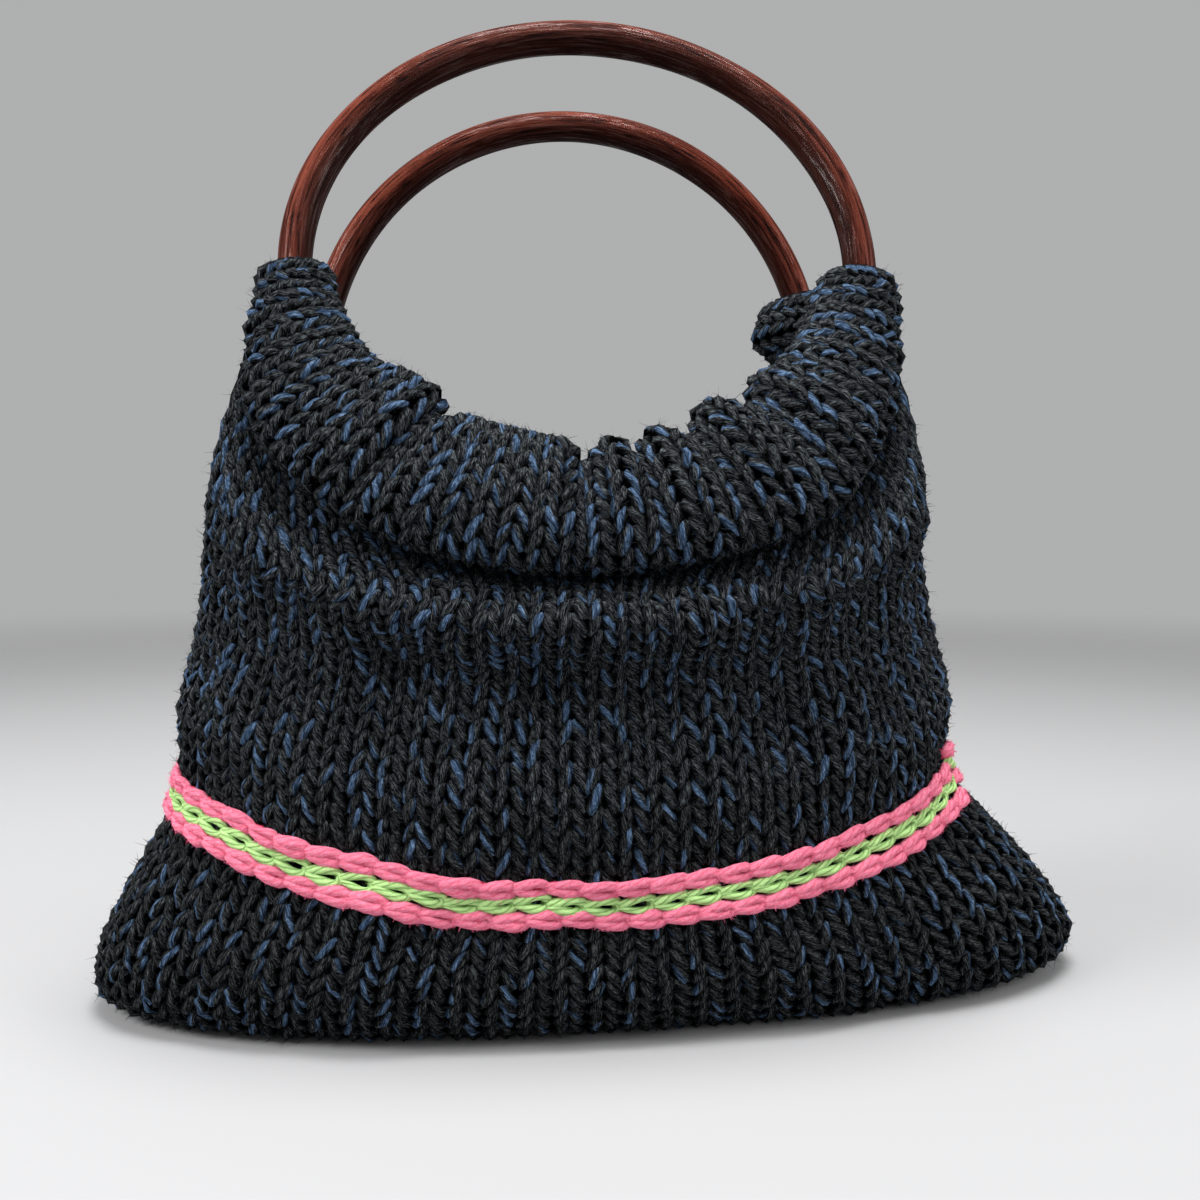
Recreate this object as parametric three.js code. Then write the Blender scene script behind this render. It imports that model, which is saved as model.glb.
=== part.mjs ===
// Knitted hand bag with two round cane handles, in millimetres.
// X runs to the right, Y to the back and Z up; the bag stands on Z = 0.
import * as THREE from 'three';

// Driving sizes
const RING_RADIUS = 91;
const CANE_RADIUS = 5.5;
const WALL = 5;
const CASING_WALL = 4.2;
const SEAM_GAP = 0.3;
const CHAIN_HEIGHT = 3.8;
const CHAIN_DEPTH = 3.2;
const CHAIN_CLEARANCE = 1.5;
const CHAIN_REACH = 0.995;
const PRESSED_FLAT = 1.5;

// Facet counts
const PANEL_COLUMNS = 30;
const ROWS_PER_SECTION = 2;
const CASING_STEPS = 48;
const CASING_SIDES = 12;
const CHAIN_SIDES = 6;
const CANE_SIDES = 10;
const RING_STEPS = 48;
const ROW_DIVISIONS = 400;
const SECTION_STEP = 0.05;

// The two handles: where each ring's centre lies, how far its top tips back, the angles along
// the ring, from straight down, where its casing starts and ends, and the share of the gathers'
// reach by which the casing's lower edge spreads past its tips.
const FRONT_RING = { side: -1, x: 0, y: -20, z: 243.7, tip: 23, start: -84, end: 84, spread: 1 };
const BACK_RING = { side: 1, x: -3, y: 38, z: 217, tip: 5, start: -84, end: 106, spread: 0.5 };
const CASING_TIP = 101;

// Sections of the body from the fold under the bag upwards. Every row of knitting is a
// bulging half loop between the two side seams.
// width: seam to middle; seamZ: height of the seam; front, back: reach of the wall at the
// middle; frontZ, backZ: its height there; full: squareness of the loop; sag: how late the
// loop sinks from the seam to the middle; shift: sideways offset; turn: twist about the
// upright axis in degrees.
const SECTION_COLUMNS = [
  'width', 'seamZ', 'front', 'frontZ', 'back', 'backZ', 'full', 'sag', 'shift', 'turn',
];
const SECTIONS = table(SECTION_COLUMNS, [
  [161, 8, 0, 2.5, 0, 2.5, 2.6, 1, 9, 5],
  [165, 11, 33, 2.5, 36, 2.5, 2.6, 1, 9, 5],
  [164, 22, 51, 6.5, 57, 7, 2.6, 1.2, 9, 5],
  [150, 43, 61, 22, 63, 24, 2.5, 2.1, 5, 5],
  [129, 72, 60, 46, 60, 46, 2.3, 2.5, -1, 4],
  [127.5, 101, 60, 78, 60, 68, 2.2, 1.8, -1.5, 3],
  [121.5, 130, 50.5, 113, 55, 86, 2.1, 1.2, -2, 2],
]);

// Row where the side seams have opened into slits: width and height of each edge, its
// distance from the seam's plane, and reach and height of the wall at the middle.
const FRONT_SLIT = { width: 115, edgeZ: 160, open: 8, reach: 67, midZ: 127, shift: -4, turn: 1 };
const BACK_SLIT = { width: 115, edgeZ: 146, open: 9, reach: 45, midZ: 99, shift: -4, turn: 1 };
const ROUND_ROW = 2;

// Rows above the slits, measured in the plane of the handle that they lead to.
// radius: from the ring's centre; inset: behind the ring's plane, towards the inside; the same
// for the row's end; angle: of the end, from straight down; shift: sideways offset.
const TOP_COLUMNS = ['radius', 'inset', 'endRadius', 'endInset', 'angle', 'shift'];
const FRONT_TOP = table(TOP_COLUMNS, [
  [116, 4, 123, 11, 60, -3],
  [101, 16, 99.5, 11.5, 88, -1],
]);
const BACK_TOP = table(TOP_COLUMNS, [
  [112, 7, 120, 8, 66, 0],
  [103, 12, 104, 8, 88, 0],
]);
const DRAPED_ROW = 2.8;

// Gathers along a casing, from left to right.
// angle: along the ring, from straight down; inner: radius of the upper edge; outer: radius of
// the lower edge; thick: half the depth of the roll.
const GATHERS = table(['angle', 'inner', 'outer', 'thick'], [
  [-90, 79, 101, 10.8],
  [-80, 78.5, 104, 11.5],
  [-71, 77.5, 109, 12],
  [-63, 76, 116, 11.4],
  [-56, 74, 119, 12],
  [-48, 67.5, 118.5, 13],
  [-41, 66.5, 118, 13],
  [-36, 74.5, 117, 10.9],
  [-29, 67.5, 115, 13],
  [-13, 66.5, 111.5, 13],
  [-5, 67, 110.5, 12.5],
  [-0.8, 75, 110, 10.9],
  [7, 66, 110.5, 13],
  [12, 74, 111, 10.9],
  [18, 66, 112, 13],
  [25.5, 73.5, 114, 10.9],
  [34, 64.5, 117, 13],
  [42, 75, 118, 10.9],
  [49, 69, 116, 12.5],
  [58, 73, 113, 12],
  [66, 74.5, 109, 11.5],
  [76, 76, 104.5, 11.5],
  [90, 79, 101, 10.8],
  [98, 71, 101, 12.5],
  [110, 79, 101, 10.8],
]);

// The three surface chains: section of the body that each one follows.
const CHAINS = [
  { name: 'stripe_pink_upper', section: 4.185, colour: 0xf2658f },
  { name: 'stripe_green', section: 4.0, colour: 0x9ccf6b },
  { name: 'stripe_pink_lower', section: 3.815, colour: 0xf2658f },
];

// Rows of values with a name for each column.
function table(columns, rows) {
  return rows.map((row) => Object.fromEntries(row.map((value, k) => [columns[k], value])));
}

// Axes of a handle: up lies in the ring's plane, out points away from the bag.
function ringAxes(ring) {
  const tip = THREE.MathUtils.degToRad(ring.tip);
  const centre = new THREE.Vector3(ring.x, ring.y, ring.z);
  const up = new THREE.Vector3(0, Math.sin(tip), Math.cos(tip));
  const out = new THREE.Vector3(0, Math.cos(tip), -Math.sin(tip)).multiplyScalar(ring.side);
  return { centre, up, out };
}

// Point near a handle from its angle along the ring, radius and distance outwards.
function ringPoint(axes, angle, radius, outwards) {
  const turn = THREE.MathUtils.degToRad(angle);
  return axes.centre
    .clone()
    .addScaledVector(new THREE.Vector3(1, 0, 0), radius * Math.sin(turn))
    .addScaledVector(axes.up, -radius * Math.cos(turn))
    .addScaledVector(axes.out, outwards);
}

// Smooth line through the points, one section to the next.
function smooth(points) {
  return new THREE.CatmullRomCurve3(points, false, 'catmullrom', 0.5);
}

// Guide lines of one panel: its middle, its right edge, and the manner of each row.
function panelGuides(ring, slit, topRows) {
  const isFront = ring.side < 0;
  const axes = ringAxes(ring);
  const middle = [];
  const edge = [];
  const shape = [];
  const offset = [];
  for (const s of SECTIONS) {
    const reach = isFront ? s.front : s.back;
    middle.push(new THREE.Vector3(0, ring.side * reach, isFront ? s.frontZ : s.backZ));
    edge.push(new THREE.Vector3(s.width, 0, s.seamZ));
    shape.push(new THREE.Vector3(s.full, s.sag, 0));
    offset.push(new THREE.Vector3(s.shift, 0, s.turn));
  }
  middle.push(new THREE.Vector3(0, ring.side * slit.reach, slit.midZ));
  edge.push(new THREE.Vector3(slit.width, ring.side * slit.open, slit.edgeZ));
  shape.push(new THREE.Vector3(ROUND_ROW, 1, 0));
  offset.push(new THREE.Vector3(slit.shift, 0, slit.turn));
  for (const t of topRows) {
    const top = ringPoint(axes, 0, t.radius, -t.inset);
    const end = ringPoint(axes, t.angle, t.endRadius, -t.endInset);
    middle.push(top.setX(0));
    edge.push(end.setX(end.x - ring.x));
    shape.push(new THREE.Vector3(DRAPED_ROW, 1, 0));
    offset.push(new THREE.Vector3(ring.x + t.shift, 0, 0));
  }
  return {
    side: ring.side,
    count: middle.length,
    middle: smooth(middle),
    edge: smooth(edge),
    shape: smooth(shape),
    offset: smooth(offset),
  };
}

// One row of knitting: half of a squarish oval from the left seam round to the right seam.
class Row extends THREE.Curve {
  constructor(guides, section) {
    super();
    this.arcLengthDivisions = ROW_DIVISIONS;
    const at = section / (guides.count - 1);
    this.middle = guides.middle.getPoint(at);
    this.edge = guides.edge.getPoint(at);
    this.offset = guides.offset.getPoint(at);
    const shape = guides.shape.getPoint(at);
    this.power = 2 / shape.x;
    this.sag = shape.y;
  }

  getPoint(along, target = new THREE.Vector3()) {
    const angle = (along - 0.5) * Math.PI;
    const across = Math.sign(angle) * Math.pow(Math.abs(Math.sin(angle)), this.power);
    const bulge = Math.pow(Math.abs(Math.cos(angle)), this.power);
    const y = THREE.MathUtils.lerp(this.edge.y, this.middle.y, bulge);
    const z = THREE.MathUtils.lerp(this.edge.z, this.middle.z, Math.pow(bulge, this.sag));
    return target.set(this.edge.x * across, y, z);
  }

  // Moves a point from the row's own straight frame into the bag's frame.
  place(point) {
    const turn = THREE.MathUtils.degToRad(this.offset.z);
    point.applyAxisAngle(new THREE.Vector3(0, 0, 1), turn);
    return point.setX(point.x + this.offset.x);
  }
}

// Grid of points of a panel's middle surface, in each row's own straight frame.
function panelGrid(guides, columns, rowsPerSection) {
  const rows = [];
  const count = (guides.count - 1) * rowsPerSection;
  for (let i = 0; i <= count; i++) {
    const row = new Row(guides, i / rowsPerSection);
    rows.push({ row, points: row.getSpacedPoints(columns) });
  }
  return rows;
}

// Outward direction of the wall at one point of the grid.
function wallDirection(grid, i, j, side) {
  const last = grid.length - 1;
  const columns = grid[0].points.length - 1;
  const below = grid[Math.max(i - 1, 0)].points[j];
  const above = grid[Math.min(i + 1, last)].points[j];
  const left = grid[i].points[Math.max(j - 1, 0)];
  const right = grid[i].points[Math.min(j + 1, columns)];
  const upwards = above.clone().sub(below);
  const sideways = right.clone().sub(left);
  const outwards = sideways.cross(upwards).multiplyScalar(-side);
  const onSeam = j === 0 || j === columns;
  const sewn = Math.abs(grid[i].row.edge.y) < SEAM_GAP;
  if (onSeam && sewn) {
    outwards.y = 0;
  }
  if (i === 0) {
    outwards.set(0, 0, -1);
  }
  return outwards.normalize();
}

// Points and facets of a skin in which each closed loop of points joins the next.
function skinOf(loops) {
  const size = loops[0].length;
  const position = loops.flat().flatMap((p) => [p.x, p.y, p.z]);
  const index = [];
  for (let i = 0; i < loops.length - 1; i++) {
    for (let k = 0; k < size; k++) {
      const a = i * size + k;
      const b = i * size + ((k + 1) % size);
      index.push(a, b, b + size, a, b + size, a + size);
    }
  }
  return { position, index };
}

function toGeometry(position, index) {
  const geometry = new THREE.BufferGeometry();
  geometry.setAttribute('position', new THREE.Float32BufferAttribute(position, 3));
  geometry.setIndex(index);
  geometry.computeVertexNormals();
  return geometry;
}

// One knitted panel: an outer and an inner skin with the edges closed between them.
function panelGeometry(guides) {
  const side = guides.side;
  const grid = panelGrid(guides, PANEL_COLUMNS, ROWS_PER_SECTION);
  const skin = grid.map((line, i) => {
    const outer = [];
    const inner = [];
    line.points.forEach((point, j) => {
      const outwards = wallDirection(grid, i, j, side);
      for (const [list, reach] of [[outer, WALL / 2], [inner, -WALL / 2]]) {
        const p = point.clone().addScaledVector(outwards, reach);
        p.y = side * Math.max(side * p.y, 0) + (side * SEAM_GAP) / 2;
        p.z = Math.max(p.z - PRESSED_FLAT, 0);
        list.push(line.row.place(p));
      }
    });
    return [...outer, ...inner.reverse()];
  });
  const { position, index } = skinOf(skin);
  const size = skin[0].length;
  const last = (skin.length - 1) * size;
  for (let k = 0; k < PANEL_COLUMNS; k++) {
    const other = size - 1 - k;
    index.push(k, other, other - 1, k, other - 1, k + 1);
    index.push(last + k, last + other - 1, last + other, last + k, last + k + 1, last + other - 1);
  }
  if (side > 0) {
    flip(index);
  }
  return toGeometry(position, index);
}

// Turns every facet round, for the mirrored side of the bag.
function flip(index) {
  for (let i = 0; i < index.length; i += 3) {
    [index[i], index[i + 1]] = [index[i + 1], index[i]];
  }
}

// Value of a column of the gathers at an angle, eased from one row to the next.
function gather(angle, column) {
  const clamped = THREE.MathUtils.clamp(angle, GATHERS[0].angle, GATHERS[GATHERS.length - 1].angle);
  const next = Math.max(GATHERS.findIndex((row) => row.angle >= clamped), 1);
  const low = GATHERS[next - 1];
  const high = GATHERS[next];
  const share = THREE.MathUtils.smoothstep(clamped, low.angle, high.angle);
  return THREE.MathUtils.lerp(low[column], high[column], share);
}

// Point of the casing's oval section round the cane, a wall's depth inside the roll.
function casingPoint(ring, axes, angle, turn, depth) {
  const inner = gather(angle, 'inner');
  const outer = THREE.MathUtils.lerp(CASING_TIP, gather(angle, 'outer'), ring.spread);
  const tall = (outer - inner) / 2 - depth;
  const thick = gather(angle, 'thick') - depth;
  const radius = (inner + outer) / 2 + tall * Math.cos(turn);
  return ringPoint(axes, angle, radius, thick * Math.sin(turn));
}

// Gathered casing: a soft tube round the lower arc of a handle, open at both tips. Each loop
// of its skin runs along the outside from tip to tip and back along the inside.
function casingGeometry(ring) {
  const axes = ringAxes(ring);
  const steps = [];
  for (let i = 0; i <= CASING_STEPS; i++) {
    steps.push(THREE.MathUtils.lerp(ring.start, ring.end, i / CASING_STEPS));
  }
  const loops = [];
  for (let k = 0; k <= CASING_SIDES; k++) {
    const turn = (2 * Math.PI * (k % CASING_SIDES)) / CASING_SIDES;
    const outside = steps.map((angle) => casingPoint(ring, axes, angle, turn, 0));
    const inside = steps.map((angle) => casingPoint(ring, axes, angle, turn, CASING_WALL));
    loops.push([...outside, ...inside.reverse()]);
  }
  const { position, index } = skinOf(loops);
  if (ring.side > 0) {
    flip(index);
  }
  return toGeometry(position, index);
}

// Places of one chain along a panel, over a share of its width from the left seam: points on
// the outer wall with the way out and up.
function chainPlaces(guides, section, share) {
  const columns = [];
  for (let j = 0; j <= PANEL_COLUMNS; j++) {
    columns.push((share * j) / PANEL_COLUMNS);
  }
  const rows = [-SECTION_STEP, 0, SECTION_STEP].map((step) => new Row(guides, section + step));
  const [below, middle, above] = rows.map((row) => columns.map((at) => row.getPointAt(at)));
  return middle.map((point, j) => {
    const left = middle[Math.max(j - 1, 0)];
    const right = middle[Math.min(j + 1, PANEL_COLUMNS)];
    const up = above[j].clone().sub(below[j]).normalize();
    const out = right.clone().sub(left).cross(up).multiplyScalar(-guides.side);
    if (j === 0 || j === PANEL_COLUMNS) {
      out.y = 0;
    }
    out.normalize();
    const reach = WALL / 2 + CHAIN_CLEARANCE + CHAIN_DEPTH / 2;
    const centre = point.clone().addScaledVector(out, reach);
    centre.z -= PRESSED_FLAT;
    const corner = (direction) => rows[1].place(centre.clone().add(direction));
    return { corner, out, up };
  });
}

// One crocheted chain: an oval cord from the right seam round the front, left and back.
function chainGeometry(front, back, section) {
  const alongFront = chainPlaces(front, section, 1).reverse();
  const alongBack = chainPlaces(back, section, CHAIN_REACH).slice(1);
  const loops = [...alongFront, ...alongBack].map(({ corner, out, up }) => {
    const loop = [];
    for (let k = 0; k < CHAIN_SIDES; k++) {
      const turn = (2 * Math.PI * k) / CHAIN_SIDES;
      const across = out.clone().multiplyScalar((CHAIN_DEPTH / 2) * Math.cos(turn));
      loop.push(corner(across.addScaledVector(up, (CHAIN_HEIGHT / 2) * Math.sin(turn))));
    }
    return loop;
  });
  const { position, index } = skinOf(loops);
  const last = (loops.length - 1) * CHAIN_SIDES;
  for (let k = 1; k < CHAIN_SIDES - 1; k++) {
    index.push(0, k + 1, k);
    index.push(last, last + k, last + k + 1);
  }
  return toGeometry(position, index);
}

// One cane ring, turned from flat into the plane of its handle.
function ringGeometry(ring) {
  const axes = ringAxes(ring);
  const geometry = new THREE.TorusGeometry(RING_RADIUS, CANE_RADIUS, CANE_SIDES, RING_STEPS);
  const across = new THREE.Vector3(1, 0, 0);
  const turn = new THREE.Matrix4().makeBasis(across, axes.up, across.clone().cross(axes.up));
  geometry.applyMatrix4(turn.setPosition(axes.centre));
  return geometry;
}

const knit = () => new THREE.MeshStandardMaterial({ color: 0x2b2f36, roughness: 0.95, metalness: 0 });
const cane = () => new THREE.MeshStandardMaterial({ color: 0x3a120c, roughness: 0.25, metalness: 0 });
const chain = (colour) => new THREE.MeshStandardMaterial({ color: colour, roughness: 0.9, metalness: 0 });

const bag = new THREE.Group();
bag.name = 'knitted_ring_handle_bag';

function add(name, geometry, material) {
  const mesh = new THREE.Mesh(geometry, material);
  mesh.name = name;
  bag.add(mesh);
}

const frontGuides = panelGuides(FRONT_RING, FRONT_SLIT, FRONT_TOP);
const backGuides = panelGuides(BACK_RING, BACK_SLIT, BACK_TOP);
add('front_panel', panelGeometry(frontGuides), knit());
add('back_panel', panelGeometry(backGuides), knit());
add('front_casing', casingGeometry(FRONT_RING), knit());
add('back_casing', casingGeometry(BACK_RING), knit());
add('front_ring', ringGeometry(FRONT_RING), cane());
add('back_ring', ringGeometry(BACK_RING), cane());
for (const { name, section, colour } of CHAINS) {
  add(name, chainGeometry(frontGuides, backGuides, section), chain(colour));
}

// The origin is the middle of the bag's footprint box, on the ground.
const box = new THREE.Box3().setFromObject(bag);
const middle = box.getCenter(new THREE.Vector3());
for (const mesh of bag.children) {
  mesh.geometry.translate(-middle.x, -middle.y, -box.min.z);
}

export default bag;
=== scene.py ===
# Knitted hand bag with two round cane handles and three crocheted chains round its body.
# Sizes are millimetres until a mesh is made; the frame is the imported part's own, in metres.
import math

import bpy
import numpy as np
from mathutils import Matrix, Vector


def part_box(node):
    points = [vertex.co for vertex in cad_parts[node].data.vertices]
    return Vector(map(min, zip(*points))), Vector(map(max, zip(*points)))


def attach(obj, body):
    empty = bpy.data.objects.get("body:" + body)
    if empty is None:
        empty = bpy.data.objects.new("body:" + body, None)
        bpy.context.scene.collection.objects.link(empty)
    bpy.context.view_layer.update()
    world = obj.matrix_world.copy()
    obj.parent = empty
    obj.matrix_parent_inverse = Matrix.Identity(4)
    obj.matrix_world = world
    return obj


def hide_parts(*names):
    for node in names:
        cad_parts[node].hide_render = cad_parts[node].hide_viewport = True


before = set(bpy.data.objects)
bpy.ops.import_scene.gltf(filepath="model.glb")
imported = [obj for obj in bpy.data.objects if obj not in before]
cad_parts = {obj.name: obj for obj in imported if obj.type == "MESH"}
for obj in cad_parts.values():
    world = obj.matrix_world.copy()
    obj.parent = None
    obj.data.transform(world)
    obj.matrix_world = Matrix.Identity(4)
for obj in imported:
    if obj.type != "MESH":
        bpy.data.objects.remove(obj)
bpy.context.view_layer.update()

MM = 0.001

# Sizes of the bag. The soft base is pressed flat by a little, and a row's squareness is 2 for an
# ellipse and more where the cloth is draped flatter.
RING_RADIUS = 91.0
CANE_RADIUS = 5.5
CANE_UNEVEN = 0.05
PRESSED_FLAT = 1.5
ROUND_ROW = 2.0
DRAPED_ROW = 2.8

# Sizes of the knitting. Wales are the columns of stitches and courses the rows. A loop's reach
# is in courses, its lean in wales, and its depth is how far it swings in front of the wall.
WALES = 35
MIDDLE_WALE = 0.0
COURSE_HEIGHT = 5.6
YARN_RADIUS = 2.25
YARN_END = 0.05
YARN_SIDES = 6
BALL_LENGTH = 4000
LOOP_REACH = 0.85
LOOP_LEAN = 0.255
LOOP_DEPTH = 1.95
UNEVEN = {"lean": 0.18, "across": 0.04, "reach": 0.05, "up": 0.05, "depth": 0.25, "radius": 0.09}
WALL_INSET = 1.6
CASING_INSET = 3.2
CASING_WALL_INSET = 0.3
FLOOR_CLEARANCE = 0.15
DENT_DEPTH = 0.9
FOLD_ROWS = 5

# Sizes of the edges and of the seam at the hem
EDGE_STEPS = 6
EDGE_WAVE = 0.9
EDGE_INSET = 0.6
HEM_RADIUS = 2.3
HEM_STANDOFF = 1.8
HEM_WAVE = 0.8

# Sizes of the crocheted chains. A link runs from its tail under the link before it to its head.
LINK_LENGTH = 10.2
LINK_TAIL = -2.2
LINK_HEAD = 11.4
LINK_SUNK = 2.0
LINK_RISE = 3.1
HEAD_DIP = 0.8
CHAIN_STANDOFF = 3.6
CORE_DEPTH = 1.0
CHAIN_SIDES = 8
CHAIN_UNEVEN = {"width": 0.07, "along": 0.12, "lift": 0.25, "lumps": 0.1, "strand": 0.06}
PATH_STEPS = 400
JOIN_SHARE = 0.93
JOIN_RISE = 5.0
JOIN_LENGTH = 28.0

# Sizes of the loose fibres. The shortest is a share of the longest.
FIBRE_SHORTEST = 0.3
FIBRE_SPREAD = 0.25
FIBRE_LEAN = 0.85
FIBRE_HALF_WIDTHS = (0.05, 0.1)

# The two handles. side: of the bag; x, y, z: the ring's centre; tip: how far its top tips back;
# start, end: angles along the ring, from straight down, between which its casing lies; spread:
# share of the gathers' reach by which the casing's lower edge spreads past its tips.
RING_COLUMNS = "side x y z tip start end spread".split()
FRONT_RING = dict(zip(RING_COLUMNS, (-1, 0.0, -20.0, 243.7, 23.0, -84, 84, 1.0)))
BACK_RING = dict(zip(RING_COLUMNS, (1, -3.0, 38.0, 217.0, 5.0, -84, 106, 0.5)))
CASING_TIP = 101.0

# Sections of the body from the fold under the bag upwards. width: seam to middle; seam_z:
# height of the seam; front, back: reach of the wall at the middle; front_z, back_z: its height
# there; full: squareness of the loop; sag: how late it sinks from the seam to the middle;
# shift: sideways offset; turn: twist about the upright axis in degrees.
SECTION_COLUMNS = "width seam_z front front_z back back_z full sag shift turn".split()
SECTIONS = [
    (161, 8, 0, 2.5, 0, 2.5, 2.6, 1.0, 9, 5),
    (165, 11, 33, 2.5, 36, 2.5, 2.6, 1.0, 9, 5),
    (164, 22, 51, 6.5, 57, 7, 2.6, 1.2, 9, 5),
    (150, 43, 61, 22, 63, 24, 2.5, 2.1, 5, 5),
    (129, 72, 60, 46, 60, 46, 2.3, 2.5, -1, 4),
    (127.5, 101, 60, 78, 60, 68, 2.2, 1.8, -1.5, 3),
    (121.5, 130, 50.5, 113, 55, 86, 2.1, 1.2, -2, 2),
]

# Row where the side seams have opened into slits.
FRONT_SLIT = {"width": 115, "edge_z": 160, "open": 8, "reach": 67, "mid_z": 127, "shift": -4, "turn": 1}
BACK_SLIT = {"width": 115, "edge_z": 146, "open": 9, "reach": 45, "mid_z": 99, "shift": -4, "turn": 1}

# Rows above the slits, measured in the plane of the handle that they lead to. The last row of
# each is the hem, sewn to the back of the casing. radius: from the ring's centre; inset: behind
# the ring's plane; the same for the row's end; angle: of the end; shift: sideways offset.
TOP_COLUMNS = "radius inset end_radius end_inset angle shift".split()
FRONT_TOP = [
    (116, 4, 123, 11, 60, -3),
    (101, 16, 99.5, 11.5, 88, -1),
    (91, 13.5, 93, 10, 88, 0),
]
BACK_TOP = [
    (112, 7, 120, 8, 66, 0),
    (103, 12, 104, 8, 88, 0),
    (92, 12.5, 95, 9, 88, 0),
]

# Gathers along a casing. angle: along the ring from straight down; inner: radius of the
# upper edge; outer: radius of the lower edge; thick: half the depth of the roll.
GATHER_COLUMNS = "angle inner outer thick".split()
GATHERS = [
    (-90, 79, 101, 10.8),
    (-80, 78.5, 104, 11.5),
    (-71, 77.5, 109, 12),
    (-63, 76, 116, 11.4),
    (-56, 74, 119, 12),
    (-48, 67.5, 118.5, 13),
    (-41, 66.5, 118, 13),
    (-36, 74.5, 117, 10.9),
    (-29, 67.5, 115, 13),
    (-13, 66.5, 111.5, 13),
    (-5, 67, 110.5, 12.5),
    (-0.8, 75, 110, 10.9),
    (7, 66, 110.5, 13),
    (12, 74, 111, 10.9),
    (18, 66, 112, 13),
    (25.5, 73.5, 114, 10.9),
    (34, 64.5, 117, 13),
    (42, 75, 118, 10.9),
    (49, 69, 116, 12.5),
    (58, 73, 113, 12),
    (66, 74.5, 109, 11.5),
    (76, 76, 104.5, 11.5),
    (90, 79, 101, 10.8),
    (98, 71, 101, 12.5),
    (110, 79, 101, 10.8),
]
PINCH = 1.7

# The three surface chains. section: of the body that each follows; half: from the middle of a
# link to its strand; strand: radius of the yarn; round: how early the link opens, 1 late to 0
# at once; tail: share of half at the link's narrow end; core: radius of the yarn's back loop
# that fills the middle, or 0 for an open link.
CHAIN_COLUMNS = "name section half strand round tail core slot".split()
CHAINS = [
    ("stripe_pink_upper", 4.175, 1.4, 1.65, 1.0, 0.6, 2.0, "pink_yarn"),
    ("stripe_green", 4.0, 1.85, 1.36, 0.75, 0.45, 0, "green_yarn"),
    ("stripe_pink_lower", 3.825, 1.45, 1.7, 1.0, 0.6, 2.0, "pink_yarn"),
]


def unit(vectors):
    return vectors / np.maximum(np.linalg.norm(vectors, axis=-1, keepdims=True), 1e-9)


def smoothstep(values, low, high):
    share = np.clip((values - low) / (high - low), 0, 1)
    return share * share * (3 - 2 * share)


def smooth(values, at):
    """Catmull-Rom line through rows of values, with its ends carried on straight."""
    values = np.asarray(values, float)
    ends = np.vstack([2 * values[0] - values[1], values, 2 * values[-1] - values[-2]])
    low = np.clip(np.floor(at).astype(int), 0, len(values) - 2)
    t = (at - low)[:, None]
    p0, p1, p2, p3 = (ends[low + k] for k in range(4))
    slope = p2 - p0
    bend = 2 * p0 - 5 * p1 + 4 * p2 - p3
    twist = 3 * p1 - p0 - 3 * p2 + p3
    return p1 + 0.5 * (slope * t + bend * t**2 + twist * t**3)


def ring_point(ring, angle, radius, outwards):
    """Points near a handle from angle along the ring in degrees, radius and distance outwards."""
    tip = math.radians(ring["tip"])
    centre = np.array([ring["x"], ring["y"], ring["z"]])
    up = np.array([0, math.sin(tip), math.cos(tip)])
    out = ring["side"] * np.array([0, math.cos(tip), -math.sin(tip)])
    turn = np.radians(angle)
    across = (radius * np.sin(turn))[..., None] * np.array([1.0, 0, 0])
    return centre + across - (radius * np.cos(turn))[..., None] * up + outwards[..., None] * out


# The frame's origin is the middle of the bag's box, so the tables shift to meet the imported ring.
ring_low, ring_high = (np.array(corner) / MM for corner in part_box("front_ring"))
SHIFT = (ring_low + ring_high) / 2 - np.array([FRONT_RING["x"], FRONT_RING["y"], FRONT_RING["z"]])


class Surface:
    """Grid of points of a wall with its outward directions, read by shares across and up."""

    def __init__(self, points, closed=False):
        self.points = points
        self.closed = closed
        across = np.gradient(points, axis=1)
        if closed:
            up = (np.roll(points[:-1], -1, axis=0) - np.roll(points[:-1], 1, axis=0)) / 2
            up = np.concatenate([up, up[:1]])
        else:
            up = np.gradient(points, axis=0)
        self.normals = unit(np.cross(across, up))

    def face(self, side):
        self.normals = self.normals * side
        return self

    def ease_folds(self, reach):
        """Evens out the outward directions over some rows, so that yarn doesn't twist in a fold."""
        padded = np.pad(self.normals, ((reach, reach), (0, 0), (0, 0)), mode="edge")
        rows = len(self.normals)
        self.normals = unit(sum(padded[k : k + rows] for k in range(2 * reach + 1)))
        return self

    def at(self, across, up):
        rows, columns = self.points.shape[:2]
        if self.closed:
            up = np.mod(up, 1.0)
        x = np.clip(across, 0, 1) * (columns - 1)
        y = np.clip(up, 0, 1) * (rows - 1)
        j = np.clip(x.astype(int), 0, columns - 2)
        i = np.clip(y.astype(int), 0, rows - 2)
        fx = (x - j)[..., None]
        fy = (y - i)[..., None]
        found = []
        for grid in (self.points, self.normals):
            low = grid[i, j] * (1 - fx) + grid[i, j + 1] * fx
            high = grid[i + 1, j] * (1 - fx) + grid[i + 1, j + 1] * fx
            found.append(low * (1 - fy) + high * fy)
        return found[0], unit(found[1])


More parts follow.
